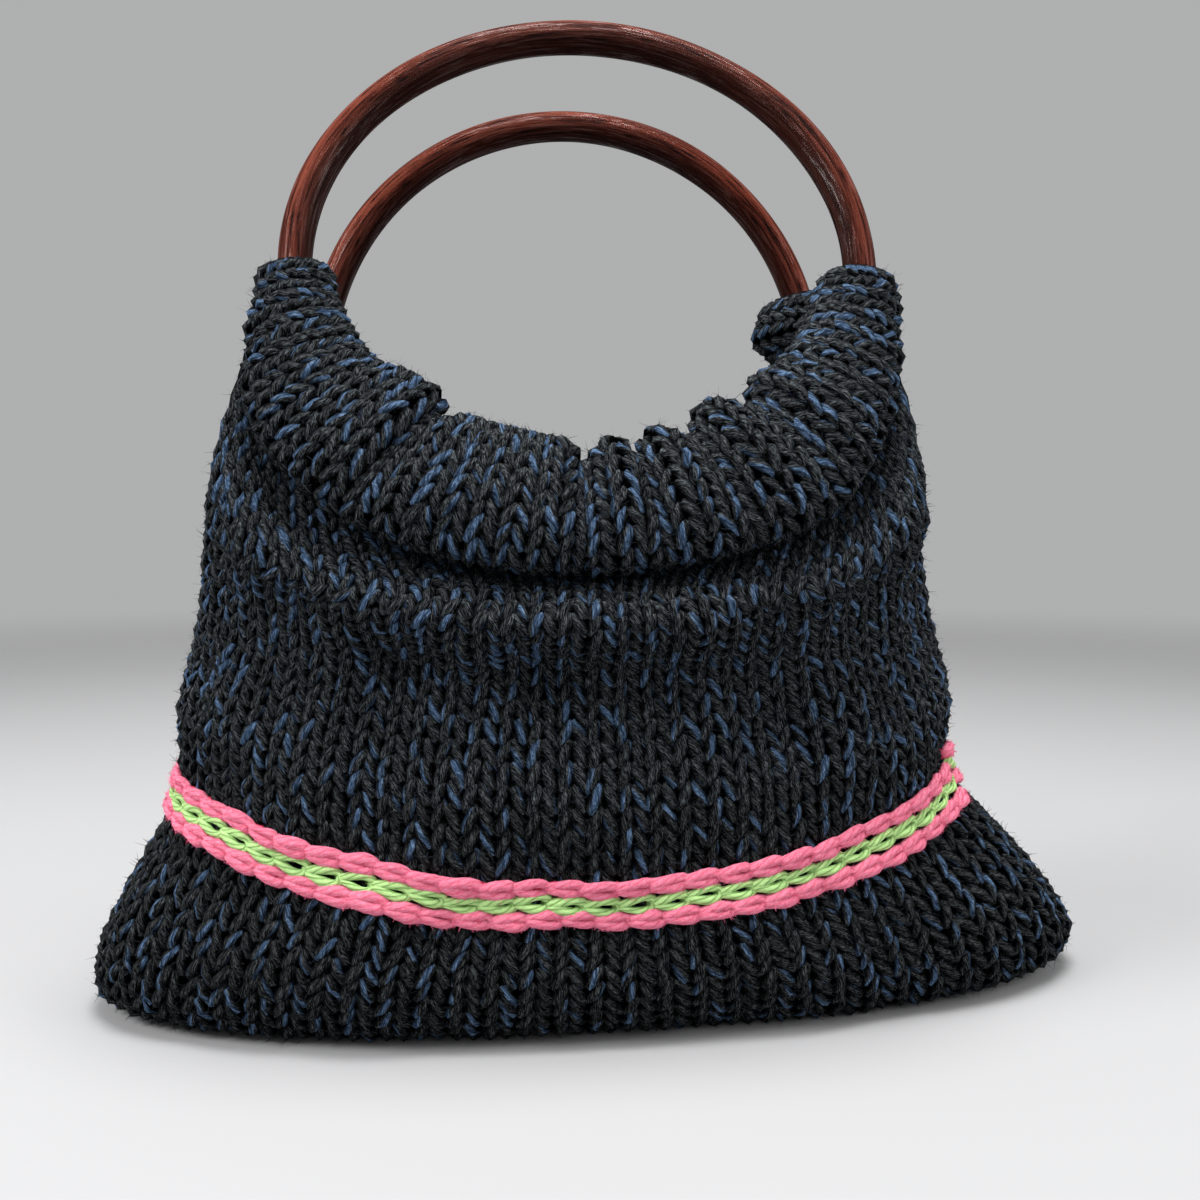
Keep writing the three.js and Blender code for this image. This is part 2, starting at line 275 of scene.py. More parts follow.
def panel_guides(ring, slit, top_rows):
    """Rows of guide values of one panel: middle y z, edge x y z, full, sag, shift, turn."""
    side = ring["side"]
    name = "front" if side < 0 else "back"
    rows = []
    for values in SECTIONS:
        s = dict(zip(SECTION_COLUMNS, values))
        middle = (side * s[name], s[name + "_z"])
        rows.append((*middle, s["width"], 0, s["seam_z"], s["full"], s["sag"], s["shift"], s["turn"]))
    middle = (side * slit["reach"], slit["mid_z"])
    edge = (slit["width"], side * slit["open"], slit["edge_z"])
    rows.append((*middle, *edge, ROUND_ROW, 1, slit["shift"], slit["turn"]))
    for values in top_rows:
        t = dict(zip(TOP_COLUMNS, values))
        angles = np.array([0.0, t["angle"]])
        radii = np.array([t["radius"], t["end_radius"]])
        insets = -np.array([t["inset"], t["end_inset"]], float)
        middle, edge = ring_point(ring, angles, radii, insets)
        edge[0] -= ring["x"]
        rows.append((*middle[1:], *edge, DRAPED_ROW, 1, ring["x"] + t["shift"], 0))
    return rows


def soft_dents(points, seed):
    """Slow uneven swells of a hand-made wall, none at the seams, the base or the hem."""
    random = np.random.default_rng(seed)
    rows, columns = points.shape[:2]
    up = np.linspace(0, 1, rows)[:, None]
    across = np.linspace(0, 1, columns)[None, :]
    swell = np.zeros((rows, columns))
    for waves_up, waves_across in ((2.2, 3.1), (3.7, 1.9), (1.3, 5.3), (4.6, 6.4), (0.8, 8.2)):
        phases = random.uniform(0, 2 * math.pi, 2)
        wave = np.sin(2 * math.pi * waves_up * up + phases[0])
        swell += DENT_DEPTH * wave * np.sin(2 * math.pi * waves_across * across + phases[1])
    fade = smoothstep(across, 0, 0.08) * smoothstep(1 - across, 0, 0.08)
    return swell * fade * smoothstep(up, 0.15, 0.3) * smoothstep(1 - up, 0.1, 0.25)


def panel_surface(ring, slit, top_rows, fine_rows=181, columns=241):
    """Middle surface of one panel, its rows a constant length of wall apart on the average."""
    guides = panel_guides(ring, slit, top_rows)
    sections = np.linspace(0, len(guides) - 1, fine_rows)
    g = smooth(guides, sections)
    mid_y, mid_z, edge_x, edge_y, edge_z, full, sag, shift, turn = (g[:, k, None] for k in range(9))
    angle = np.linspace(-0.5, 0.5, 1201)[None, :] * math.pi
    across = np.sign(angle) * np.abs(np.sin(angle)) ** (2 / full)
    bulge = np.abs(np.cos(angle)) ** (2 / full)
    dense = np.stack([
        edge_x * across,
        edge_y + (mid_y - edge_y) * bulge,
        edge_z + (mid_z - edge_z) * bulge**sag - PRESSED_FLAT,
    ], axis=-1)
    c, s = np.cos(np.radians(turn)), np.sin(np.radians(turn))
    turned = np.stack([
        c * dense[..., 0] - s * dense[..., 1] + shift,
        s * dense[..., 0] + c * dense[..., 1],
        dense[..., 2],
    ], axis=-1)
    step = np.linalg.norm(np.diff(turned, axis=1), axis=-1)
    along = np.concatenate([np.zeros((fine_rows, 1)), np.cumsum(step, axis=1)], axis=1)
    even = np.linspace(0, 1, columns)
    placed = np.empty((fine_rows, columns, 3))
    for i in range(fine_rows):
        upright = np.interp(MIDDLE_WALE, turned[i, :, 0], along[i] / along[i, -1])
        share = even + 4 * (upright - 0.5) * even * (1 - even)
        for k in range(3):
            placed[i, :, k] = np.interp(share * along[i, -1], along[i], turned[i, :, k])
    rise = np.linalg.norm(np.diff(placed, axis=0), axis=-1).mean(axis=1)
    height = np.concatenate([[0], np.cumsum(rise)])
    share = height / height[-1]
    at = np.interp(np.linspace(0, 1, fine_rows), share, np.arange(fine_rows))
    low = np.clip(at.astype(int), 0, fine_rows - 2)
    mix = (at - low)[:, None, None]
    even_rows = placed[low] * (1 - mix) + placed[low + 1] * mix + SHIFT
    surface = Surface(even_rows).face(-ring["side"])
    swell = soft_dents(even_rows, 7 + ring["side"])
    surface = Surface(even_rows + swell[..., None] * surface.normals).face(-ring["side"])
    surface.ease_folds(FOLD_ROWS)
    surface.height = height[-1]
    surface.up_of_section = lambda section: float(np.interp(section, sections, share))
    return surface


def gather(angle, column):
    """Value of a column of the gathers, eased from one row to the next."""
    table = np.array(GATHERS, float)
    values = table[:, GATHER_COLUMNS.index(column)]
    angles = table[:, 0]
    low = np.clip(np.searchsorted(angles, angle, side="right") - 1, 0, len(angles) - 2)
    share = smoothstep(angle, angles[low], angles[low + 1])
    return values[low] + (values[low + 1] - values[low]) * share


def length_round(points):
    """Mean length of the closed lines that run round a roll."""
    return float(np.linalg.norm(np.diff(points, axis=0), axis=-1).sum(axis=0).mean())


def casing_surface(ring, inset=CASING_INSET, rows=97, columns=241):
    """Middle surface of a casing's wall. It starts at the crease below and turns up the outside."""
    angle = np.linspace(ring["start"], ring["end"], columns)[None, :]
    inner = gather(angle, "inner")
    outer = CASING_TIP + (gather(angle, "outer") - CASING_TIP) * ring["spread"]
    tall = (outer - inner) / 2 - inset
    fullest = max(row[-1] for row in GATHERS)
    thick = fullest - PINCH * (fullest - gather(angle, "thick")) - inset
    fine = np.linspace(0, 2 * math.pi, 721)
    step = np.hypot(tall.mean() * np.sin(fine), thick.mean() * np.cos(fine))
    length = np.concatenate([[0], np.cumsum((step[1:] + step[:-1]) / 2)])
    turn = np.interp(np.linspace(0, length[-1], rows), length, fine)[:, None]
    radius = (inner + outer) / 2 + tall * np.cos(turn)
    points = ring_point(ring, angle + 0 * turn, radius, thick * np.sin(turn)) + SHIFT
    surface = Surface(points, closed=True).face(-ring["side"])
    surface.height = length_round(points)
    surface.outside = length_round(points + YARN_RADIUS * surface.normals)
    return surface


def index_pairs(rows, columns):
    """Row and column number of every cell of a grid, as two flat arrays."""
    return (part.ravel() for part in np.meshgrid(np.arange(rows), np.arange(columns), indexing="ij"))


class Yarn:
    """Round yarn swept along many lines at once. Its length and turn are kept for the material,
    and how far in front of the wall each place lies, from 0 behind it to 1."""

    def __init__(self, lines, outs, radius, sides, starts, closed=False, front=None):
        count, steps = lines.shape[:2]
        front = np.ones((count, steps)) if front is None else front
        self.front = np.repeat(front.ravel(), sides)
        if closed:
            tangent = (np.roll(lines, -1, axis=1) - np.roll(lines, 1, axis=1)) / 2
        else:
            tangent = np.gradient(lines, axis=1)
        tangent = unit(tangent)
        sideways = unit(np.cross(tangent, outs))
        out = np.cross(sideways, tangent)
        turn = 2 * math.pi * np.arange(sides) / sides
        cosine = np.cos(turn)[None, None, :, None]
        sine = np.sin(turn)[None, None, :, None]
        self.ring = out[:, :, None] * cosine + sideways[:, :, None] * sine
        self.points = lines[:, :, None] + radius[:, :, None, None] * self.ring
        self.points[..., 2] = np.maximum(self.points[..., 2], FLOOR_CLEARANCE)
        step = np.linalg.norm(np.diff(lines, axis=1), axis=-1)
        length = np.concatenate([np.zeros((count, 1)), np.cumsum(step, axis=1)], axis=1)
        length = length + starts[:, None]
        last = steps if closed else steps - 1
        i, k = index_pairs(last, sides)
        after = (i + 1) % steps
        beside = (k + 1) % sides
        corners = ((i, k), (i, beside), (after, beside), (after, k))
        one = np.stack([ring * sides + place for ring, place in corners], axis=1)
        self.faces = (one[None] + (np.arange(count) * steps * sides)[:, None, None]).reshape(-1, 4)
        ahead = length[:, after]
        if closed:
            ahead = np.where(after == 0, length[:, i] + step[:, -1:], ahead)
        lengths = np.stack([length[:, i], length[:, i], ahead, ahead], axis=-1)
        turns = np.stack([k, k + 1, k + 1, k], axis=-1) / sides
        turns = np.broadcast_to(turns, (count, *turns.shape))
        self.uv = np.stack([lengths, turns], axis=-1).reshape(-1, 2)


def mesh_object(name, points, faces, uv, material, front=None):
    """Object of four-sided faces from arrays in millimetres, riding on the bag's only body."""
    mesh = bpy.data.meshes.new(name)
    points = points.reshape(-1, 3)
    mesh.vertices.add(len(points))
    mesh.vertices.foreach_set("co", (points * MM).astype(np.float32).ravel())
    mesh.loops.add(faces.size)
    mesh.loops.foreach_set("vertex_index", faces.astype(np.int32).ravel())
    mesh.polygons.add(len(faces))
    mesh.polygons.foreach_set("loop_start", np.arange(0, faces.size, 4, dtype=np.int32))
    mesh.polygons.foreach_set("use_smooth", np.ones(len(faces), dtype=bool))
    layer = mesh.uv_layers.new(name="length_and_turn")
    layer.uv.foreach_set("vector", uv.astype(np.float32).ravel())
    # in_front is read by the yarn materials to paint shade where the yarn lies behind the wall.
    if front is not None:
        mesh.attributes.new("in_front", "FLOAT", "POINT")
        mesh.attributes["in_front"].data.foreach_set("value", front.astype(np.float32))
    mesh.update(calc_edges=True)
    mesh.materials.append(material)
    piece = bpy.data.objects.new(name, mesh)
    bpy.context.scene.collection.objects.link(piece)
    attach(piece, "root")
    return piece


def yarn_object(name, yarns, material):
    points = []
    faces = []
    count = 0
    for yarn in yarns:
        flat = yarn.points.reshape(-1, 3)
        points.append(flat)
        faces.append(yarn.faces + count)
        count += len(flat)
    uv = np.concatenate([yarn.uv for yarn in yarns])
    front = np.concatenate([yarn.front for yarn in yarns])
    return mesh_object(name, np.concatenate(points), np.concatenate(faces), uv, material, front)


def stitches(surface, first, last, courses, seed, samples):
    """Courses of knitted loops on a wall: legs in front, heads and feet behind."""
    random = np.random.default_rng(seed)
    count = last - first
    steps = WALES * samples + 1
    t = np.linspace(0, 2 * math.pi * WALES, steps)[None, :]
    stitch = np.linspace(0, WALES, steps)

    def wobble(size, knots_per_stitch=2):
        knots = WALES * knots_per_stitch + 1
        values = random.normal(0, size, (count, knots))
        at = stitch * knots_per_stitch
        low = np.clip(at.astype(int), 0, knots - 2)
        share = at - low
        return values[:, low] * (1 - share) + values[:, low + 1] * share

    lean = LOOP_LEAN * (1 + wobble(UNEVEN["lean"]))
    across = (t / (2 * math.pi) + lean * np.sin(2 * t) + wobble(UNEVEN["across"])) / WALES
    level = np.arange(first, last)[:, None] + 0.5
    reach = LOOP_REACH * (1 + wobble(UNEVEN["reach"]))
    up = (level - reach * np.cos(t) + wobble(UNEVEN["up"])) / courses
    points, normals = surface.at(across, up)
    depth = -LOOP_DEPTH * np.cos(2 * t) + wobble(UNEVEN["depth"])
    lines = points + depth[..., None] * normals
    radius = YARN_RADIUS * (1 + wobble(UNEVEN["radius"]))
    radius[:, [0, -1]] = YARN_END
    starts = random.uniform(0, BALL_LENGTH, count)
    # Legs count as in front of the wall, heads and feet as behind it; the knit material paints shade on
    # the parts behind.
    front = np.broadcast_to(0.5 - 0.5 * np.cos(2 * t), depth.shape)
    return Yarn(lines, normals, radius, YARN_SIDES, starts, front=front)


def edge_yarn(surface, across, courses, seed, closed=False):
    """Turned edge of the knitting: a wavering yarn up one edge that hides where courses turn."""
    random = np.random.default_rng(seed)
    steps = courses * EDGE_STEPS
    up = np.linspace(0, 1, steps, endpoint=not closed)
    points, normals = surface.at(np.full(steps, across), up)
    inside = surface.at(np.full(steps, abs(across - 0.02)), up)[0]
    outward = unit(points - inside)
    turn = np.arange(steps) * 2 * math.pi / EDGE_STEPS
    lines = points + EDGE_WAVE * np.sin(turn)[:, None] * normals - EDGE_INSET * outward
    radius = YARN_RADIUS * (1.02 + 0.1 * np.cos(turn))
    starts = random.uniform(0, BALL_LENGTH, 1)
    return Yarn(lines[None], normals[None], radius[None], YARN_SIDES, starts, closed=closed)


def hem_yarn(surface, seed):
    """Whipped seam along a panel's top edge, which closes the gap to its casing."""
    random = np.random.default_rng(seed)
    across = np.linspace(0, 1, WALES * EDGE_STEPS + 1)
    turn = 2 * math.pi * WALES * across
    points, normals = surface.at(across, np.ones(len(across)))
    lines = points + (HEM_STANDOFF + HEM_WAVE * np.sin(turn))[:, None] * normals
    radius = HEM_RADIUS * (1 + 0.1 * np.cos(turn))
    starts = random.uniform(0, BALL_LENGTH, 1)
    return Yarn(lines[None], normals[None], radius[None], YARN_SIDES, starts)


def wall_object(name, surface, material, rows, columns, inset):
    """Thin sheet inside the knitting, behind the gaps between stitches, which its material paints in
    shade.
    """
    across, up = np.meshgrid(np.linspace(0, 1, columns + 1), np.linspace(0, 1, rows + 1))
    points, normals = surface.at(across, np.minimum(up, 1 - 1e-9) if surface.closed else up)
    points = points - inset * normals
    points[..., 2] = np.maximum(points[..., 2], FLOOR_CLEARANCE)
    i, j = index_pairs(rows, columns)
    low = i * (columns + 1) + j
    high = low + columns + 1
    faces = np.stack([low, low + 1, high + 1, high], axis=1)
    uv = np.stack([across.ravel()[faces], up.ravel()[faces]], axis=-1).reshape(-1, 2)
    return mesh_object(name, points, faces, uv, material)


def link_line(chain):
    """One chain link seen from outside: a narrow tail, two strands and a round head."""
    share = np.linspace(0, 1, 25)
    along = LINK_TAIL + (LINK_HEAD - LINK_TAIL) * np.sin(math.pi * share) ** 0.9
    spread = np.sin(2 * math.pi * share)
    opened = np.sign(spread) * np.abs(spread) ** chain["round"]
    widened = chain["tail"] + (1 - chain["tail"]) * smoothstep(along, 1, 8)
    across = chain["half"] * opened * widened
    lifted = LINK_RISE * smoothstep(along, LINK_TAIL, 3.0)
    rise = lifted - LINK_SUNK - HEAD_DIP * smoothstep(along, 6.5, LINK_HEAD)
    return along, across, rise


def chain_yarn(front, back, chain, seed):
    """Crocheted chain laid round the body, from near the right seam by the back and left to the
    front. It starts a little higher than it ends, as a round that was worked in one go does."""
    random = np.random.default_rng(seed)
    path = []
    out = []
    up = []
    for surface, first, last in ((front, JOIN_SHARE, 1), (back, 1, 0), (front, 0, JOIN_SHARE)):
        share = np.linspace(first, last, PATH_STEPS)
        level = np.full(PATH_STEPS, surface.up_of_section(chain["section"]))
        point, normal = surface.at(share, level)
        above = surface.at(share, level + 0.01)[0]
        path.append(point + CHAIN_STANDOFF * normal)
        out.append(normal)
        up.append(unit(above - point))
    path, out, up = (np.concatenate(part) for part in (path, out, up))
    length = np.concatenate([[0], np.cumsum(np.linalg.norm(np.diff(path, axis=0), axis=-1))])
    path = path + JOIN_RISE * (1 - smoothstep(length, 0, JOIN_LENGTH))[:, None] * up
    links = int(length[-1] / LINK_LENGTH)
    step = (length[-1] - 2) / links
    along, across, rise = link_line(chain)
    start = 1.0 + step * np.arange(links)[:, None]

    def uneven(name):
        return random.normal(0, CHAIN_UNEVEN[name], (links, 1))

    scale = 1 + uneven("width")
    at = start + along * step / LINK_LENGTH + uneven("along")

    def follow(values):
        return np.stack([np.interp(at, length, values[:, k]) for k in range(3)], axis=-1)

    lift = uneven("lift") + across * scale
    outs = unit(follow(out))
    lines = follow(path) + lift[..., None] * unit(follow(up)) + rise[None, :, None] * outs
    lumps = random.normal(0, CHAIN_UNEVEN["lumps"], at.shape)
    lumps = (lumps + np.roll(lumps, 1, axis=1) + np.roll(lumps, 2, axis=1)) / 2
    radius = chain["strand"] * (1 + lumps + uneven("strand"))
    radius[:, [0, -1]] = YARN_END
    # How far each place has come out in front of the wall; the chain material paints shade on the sunk
    # tails.
    before_wall = np.broadcast_to(smoothstep(along, -1.5, 1.5), at.shape)
    starts = random.uniform(0, BALL_LENGTH, links)
    yarns = [Yarn(lines, outs, radius, CHAIN_SIDES, starts, front=before_wall)]
    if chain["core"]:
        sunk = (path - CORE_DEPTH * out)[None, ::4]
        thick = np.full(sunk.shape[:2], chain["core"])
        thick[:, [0, -1]] = YARN_END
        # The core counts as behind the wall, so the chain material paints it in shade.
        behind = np.zeros(thick.shape)
        yarns.append(Yarn(sunk, out[None, ::4], thick, YARN_SIDES, np.zeros(1), front=behind))
    return yarns


def cane_ring(ring, seed):
    """Bent cane ring, very slightly uneven as natural cane is."""
    random = np.random.default_rng(seed)
    steps = 240
    angle = np.linspace(0, 360, steps, endpoint=False)
    turn = np.radians(angle)
    radius = np.full(steps, RING_RADIUS)
    zero = np.zeros(steps)
    lines = ring_point(ring, angle, radius, zero) + SHIFT
    middle = ring_point(ring, angle, zero, zero) + SHIFT
    thick = np.full(steps, CANE_RADIUS)
    for waves in range(2, 9):
        thick = thick + CANE_UNEVEN * np.sin(waves * turn + random.uniform(0, 2 * math.pi))
    return Yarn(lines[None], unit(lines - middle)[None], thick[None], 24, np.zeros(1), closed=True)


def fuzz_object(name, yarns, count, seed, material, longest):
    """Loose fibres that stand off the yarn, each a narrow ribbon with a fine tip."""
    random = np.random.default_rng(seed)
    outer_half = [-1, 0, 1]
    roots = np.concatenate([yarn.points[:, 1:-1, outer_half].reshape(-1, 3) for yarn in yarns])
    facing = np.concatenate([yarn.ring[:, 1:-1, outer_half].reshape(-1, 3) for yarn in yarns])
    chosen = random.integers(0, len(roots), count)
    root = roots[chosen]
    facing = facing[chosen]
    lean = unit(facing + random.normal(0, FIBRE_LEAN, (count, 3)))
    share_of_longest = np.minimum(FIBRE_SHORTEST + random.exponential(FIBRE_SPREAD, count), 1.0)
    length = longest * share_of_longest[:, None]
    width = random.uniform(*FIBRE_HALF_WIDTHS, count)[:, None]
    sideways = unit(np.cross(lean, random.normal(0, 1, (count, 3))))
    rows = []
    for share, thin in ((-0.1, 1.0), (1.0, 0.3)):
        middle = root + length * share * lean
        middle[:, 2] = np.maximum(middle[:, 2], FLOOR_CLEARANCE)
        half = thin * width * sideways
        rows.append(np.stack([middle - half, middle + half], axis=1))
    points = np.stack(rows, axis=1)
    one = np.array([0, 1, 3, 2])
    faces = one[None] + 4 * np.arange(count)[:, None]
    uv = np.zeros((faces.size, 2))
    uv[:, 0] = np.repeat(random.uniform(0, 1, count), 4)
    return mesh_object(name, points, faces, uv, material)


class Nodes:
    """Short way to write a material's nodes."""

    def __init__(self, name):
        self.material = bpy.data.materials.new(name)
        self.material.use_nodes = True
        self.tree = self.material.node_tree
        self.shader = self.tree.nodes["Principled BSDF"]

    def add(self, kind, **settings):
        node = self.tree.nodes.new(kind)
        for key, value in settings.items():
            setattr(node, key, value)
        return node

    def link(self, source, target):
        if hasattr(source, "is_output"):
            self.tree.links.new(source, target)
        else:
            target.default_value = source

    def math(self, operation, a, b=0.0, c=0.0):
        node = self.add("ShaderNodeMath", operation=operation)
        for socket, value in zip(node.inputs, (a, b, c)):
            self.link(value, socket)
        return node.outputs[0]

    def vector(self, x, y, z=0.0):
        node = self.add("ShaderNodeCombineXYZ")
        for socket, value in zip(node.inputs, (x, y, z)):
            self.link(value, socket)
        return node.outputs[0]

    def noise(self, vector, scale, detail=2.0, roughness=0.5):
        node = self.add("ShaderNodeTexNoise")
        self.link(vector, node.inputs["Vector"])
        node.inputs["Scale"].default_value = scale
        node.inputs["Detail"].default_value = detail
        node.inputs["Roughness"].default_value = roughness
        return node.outputs["Fac"]

    def ease(self, value, low, high, to_low=0.0, to_high=1.0):
        node = self.add("ShaderNodeMapRange", interpolation_type="SMOOTHSTEP")
        for socket, part in zip(node.inputs, (value, low, high, to_low, to_high)):
            self.link(part, socket)
        return node.outputs[0]

    def mix(self, share, a, b):
        node = self.add("ShaderNodeMix", data_type="RGBA")
        self.link(share, node.inputs[0])
        for socket, colour in ((node.inputs[6], a), (node.inputs[7], b)):
            self.link(colour if hasattr(colour, "is_output") else (*colour, 1.0), socket)
        return node.outputs[2]

    def bump(self, height, strength, distance, socket="Normal"):
        node = self.add("ShaderNodeBump")
        node.inputs["Strength"].default_value = strength
        node.inputs["Distance"].default_value = distance
        self.link(height, node.inputs["Height"])
        self.link(node.outputs[0], self.shader.inputs[socket])

    def in_front(self):
        return self.add("ShaderNodeAttribute", attribute_name="in_front").outputs["Fac"]

    def uv(self):
        node = self.add("ShaderNodeUVMap", uv_map="length_and_turn")
        split = self.add("ShaderNodeSeparateXYZ")
        self.link(node.outputs[0], split.inputs[0])
        return split.outputs[0], split.outputs[1]


def ply_pattern(nodes, plies, lay):
    """Twisted plies of a yarn, one turn in each length of lay. Gives the yarn's length and turn,
    the height of the plies, and a fine fibre noise that runs along them."""
    length, turn = nodes.uv()
    wound = nodes.math("MULTIPLY", length, plies / lay)
    phase = nodes.math("ADD", nodes.math("MULTIPLY", turn, plies), wound)
    hollow = nodes.math("PINGPONG", phase, 0.5)
    ply = nodes.ease(hollow, 0.0, 0.3)
    across = nodes.math("MULTIPLY", phase, 3.2)
    along = nodes.math("MULTIPLY", length, 0.3)
    flecks = nodes.noise(nodes.vector(across, along), 2.4, 5.0, 0.75)
    return length, turn, ply, flecks


def knit_material(name, blue_from, light):
    """Charcoal yarn with one denim-blue strand that comes round to the outside. blue_from: how
    far the strand has to come round before it shows, up to half a turn; light: of the fibres."""
    nodes = Nodes(name)
    length, turn, ply, flecks = ply_pattern(nodes, 5.0, 21.0)
    drift = nodes.noise(nodes.vector(nodes.math("MULTIPLY", length, 0.035), 3.7), 1.0, 1.0)
    strand = nodes.math("ADD", turn, nodes.math("MULTIPLY", length, 1 / 41))
    strand = nodes.math("ADD", strand, nodes.math("MULTIPLY", drift, 1.6))
    frayed = nodes.math("MULTIPLY_ADD", flecks, 0.10, strand)
    shown = nodes.math("PINGPONG", frayed, 0.5)
    blue = nodes.ease(shown, blue_from, blue_from + 0.03)
    fibres = nodes.ease(flecks, 0.44, 0.66)
    charcoal = nodes.mix(fibres, (0.002, 0.002, 0.0023), light)
    denim = nodes.mix(fibres, (0.027, 0.055, 0.11), (0.24, 0.365, 0.57))
    colour = nodes.mix(blue, charcoal, denim)
    # Painted shade: the yarn's sides, the hollows between its plies and the loops' heads and feet
    # behind the wall are darkened towards near black; the side facing into the bag keeps its colour.
    from_outside = nodes.math("PINGPONG", turn, 0.5)
    sides = nodes.ease(from_outside, 0.02, 0.19, 1.0, 0.0)
    ends = nodes.ease(nodes.in_front(), 0.15, 0.85, 0.02, 1.0)
    inside = nodes.ease(from_outside, 0.3, 0.44)
    deep = nodes.math("MAXIMUM", nodes.math("MULTIPLY", sides, ends), inside)
    wear_and_painted_shade = nodes.math("MULTIPLY", nodes.ease(ply, 0.0, 1.0, 0.4, 1.0), deep)
    nodes.link(nodes.mix(wear_and_painted_shade, (0.0006, 0.0006, 0.0007), colour), nodes.shader.inputs["Base Color"])
    nodes.link(nodes.ease(flecks, 0.2, 0.8, 0.8, 0.98), nodes.shader.inputs["Roughness"])
    nodes.shader.inputs["Specular IOR Level"].default_value = 0.01
    nodes.bump(nodes.math("MULTIPLY_ADD", ply, 0.5, nodes.math("MULTIPLY", flecks, 1.6)), 1.0, 0.0006)
    return nodes.material


def chain_material(name, dark, light, twist):
    """Bright acrylic yarn. twist: how clearly its plies show through the fluff."""
    nodes = Nodes(name)
    _, turn, ply, flecks = ply_pattern(nodes, 5.0, 20.0)
    # Painted shade: the sides of the strand, the hollows between its plies, and the links' sunk tails
    # and cores lean towards the dark colour.
    sides = nodes.ease(nodes.math("PINGPONG", turn, 0.5), 0.18, 0.42, 1.0, 0.35)
    deep = nodes.math("MULTIPLY", sides, nodes.ease(nodes.in_front(), 0.0, 1.0, 0.1, 1.0))
    fluff = nodes.math("MULTIPLY", nodes.ease(flecks, 0.25, 0.7), 1.0 - twist)
    shade = nodes.math("MULTIPLY", nodes.math("MULTIPLY_ADD", ply, twist, fluff), deep)
    nodes.link(nodes.mix(shade, dark, light), nodes.shader.inputs["Base Color"])
    nodes.link(nodes.ease(flecks, 0.2, 0.8, 0.65, 0.9), nodes.shader.inputs["Roughness"])
    nodes.shader.inputs["Specular IOR Level"].default_value = 0.1
    nodes.bump(nodes.math("MULTIPLY_ADD", ply, twist, flecks), 0.8, 0.0008)
    return nodes.material


def cane_material(name):
    """Stained and lacquered cane: dark streaks of grain along the ring, a worn glossy coat, and painted
    shade that darkens the ring's inner side.
    """
    nodes = Nodes(name)
    length, turn = nodes.uv()
    round_x = nodes.math("COSINE", nodes.math("MULTIPLY", turn, 2 * math.pi))
    round_y = nodes.math("SINE", nodes.math("MULTIPLY", turn, 2 * math.pi))
    sway = nodes.noise(nodes.vector(round_x, round_y, nodes.math("MULTIPLY", length, 0.02)), 1.2, 1.0)
    along = nodes.math("MULTIPLY_ADD", length, 0.011, nodes.math("MULTIPLY", sway, 0.5))
    fine = nodes.noise(nodes.vector(round_x, round_y, along), 6.5, 5.0, 0.68)
    slowly = nodes.math("MULTIPLY", length, 0.012)
    broad = nodes.noise(nodes.vector(round_x, round_y, slowly), 1.6, 3.0, 0.55)
    grain = nodes.ease(fine, 0.34, 0.68)
    stain = nodes.mix(grain, (0.02, 0.0035, 0.002), (0.122, 0.023, 0.012))
    wear_and_painted_shade = nodes.mix(nodes.ease(broad, 0.45, 0.72), stain, (0.165, 0.038, 0.022))
    streaked = nodes.mix(nodes.ease(fine, 0.44, 0.35), wear_and_painted_shade, (0.004, 0.0012, 0.001))
    # Painted shade: the ring's inner side is darkened towards near black.
    inner = nodes.ease(nodes.math("PINGPONG", turn, 0.5), 0.18, 0.42, 0.0, 0.85)
    colour = nodes.mix(inner, streaked, (0.006, 0.0012, 0.0008))
    nodes.link(colour, nodes.shader.inputs["Base Color"])
    nodes.link(nodes.ease(fine, 0.36, 0.64, 0.55, 0.22), nodes.shader.inputs["Roughness"])
    nodes.shader.inputs["Specular IOR Level"].default_value = 0.02
    nodes.link(nodes.ease(fine, 0.5, 0.64, 0.02, 0.5), nodes.shader.inputs["Coat Weight"])
    nodes.shader.inputs["Coat Roughness"].default_value = 0.05
    nodes.bump(fine, 0.9, 0.0012)
    nodes.bump(fine, 0.3, 0.0012, "Coat Normal")
    return nodes.material


def backing_material(name):
    """Near-black sheet behind the knitting, painted shade that is only seen deep between the stitches.
    """
    nodes = Nodes(name)
    place = nodes.add("ShaderNodeTexCoord").outputs["Object"]
    fibre = nodes.noise(place, 900.0, 3.0)
    colour = nodes.mix(fibre, (0.003, 0.003, 0.004), (0.012, 0.012, 0.014))
    nodes.link(colour, nodes.shader.inputs["Base Color"])
    nodes.shader.inputs["Roughness"].default_value = 1.0
    nodes.shader.inputs["Specular IOR Level"].default_value = 0.05
    nodes.bump(fibre, 0.6, 0.0006)
    return nodes.material


def fuzz_material(name, dark, light):
    """Single loose fibres, each a little lighter or darker than the next."""
    nodes = Nodes(name)
    one = nodes.uv()[0]
    nodes.link(nodes.mix(one, dark, light), nodes.shader.inputs["Base Color"])
    nodes.shader.inputs["Roughness"].default_value = 0.9
    nodes.shader.inputs["Specular IOR Level"].default_value = 0.2
    return nodes.material


# The body
knit = knit_material("charcoal_and_denim_yarn", 0.39, (0.172, 0.192, 0.207))
# Darker copy for the lower half of each panel: its fibres are darker as painted shade, and its blue
# strand shows a little less often.
lower_knit_painted_shade = knit_material("mostly_charcoal_yarn_painted_shade", 0.415, (0.132, 0.145, 0.152))
painted_shade_backing = backing_material("knit_backing_painted_shade")
front = panel_surface(FRONT_RING, FRONT_SLIT, FRONT_TOP)
back = panel_surface(BACK_RING, BACK_SLIT, BACK_TOP)
front_roll = casing_surface(FRONT_RING)
back_roll = casing_surface(BACK_RING)

